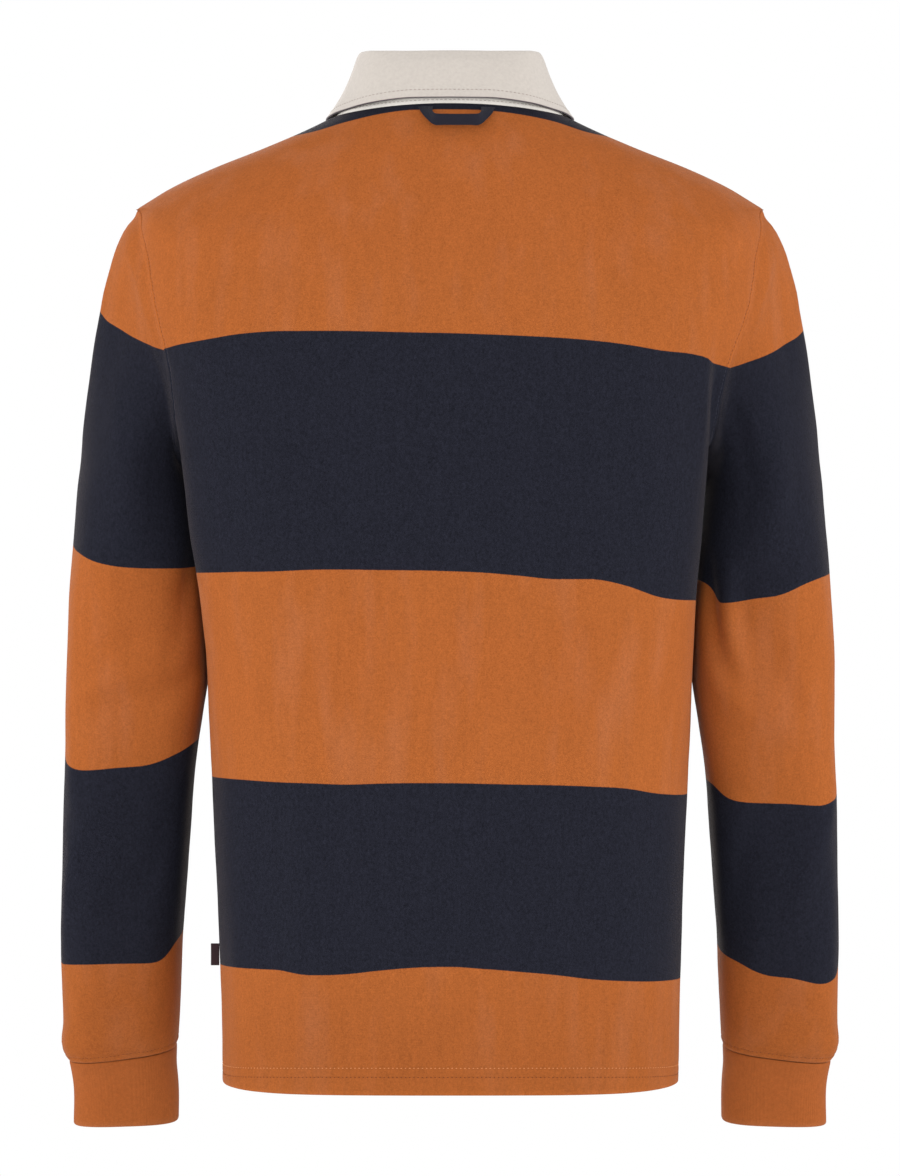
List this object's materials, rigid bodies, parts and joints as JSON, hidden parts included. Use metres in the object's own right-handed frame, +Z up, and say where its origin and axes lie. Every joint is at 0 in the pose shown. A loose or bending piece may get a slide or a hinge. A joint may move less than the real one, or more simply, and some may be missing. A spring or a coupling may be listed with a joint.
{
  "type": "long-sleeved striped jersey shirt",
  "caption": "Long-sleeved striped jersey shirt with a turned-down twill collar, ribbed cuffs, a buttoned front placket and a hanging loop, filled out as if worn",
  "frame": {"origin": "the middle of the neck at the height where the shoulder seams meet the collar", "axes": "+Z up, +X to the wearer's left, the front faces -Y"},
  "size_m": [0.565, 0.2691, 0.7835],
  "materials": {
    "jersey": "heavy cotton jersey, rust with broad dark navy bands",
    "rib": "fine cotton rib, rust",
    "twill": "cotton twill, cream",
    "button_rubber": "matt, off-white",
    "tape": "woven tape, dark navy",
    "tab": "woven tape, dark burgundy"
  },
  "bodies": {
    "root": {"back_panel": "jersey", "front_panel": "jersey", "sleeve_left": "jersey", "sleeve_right": "jersey", "cuff_left": "rib", "cuff_right": "rib", "collar_stand": "twill", "collar_fall": "twill", "placket": "twill", "button_top": "button_rubber", "button_middle": "button_rubber", "button_low": "button_rubber", "hanging_loop": "tape", "side_tab": "tab"}
  },
  "joints": []
}
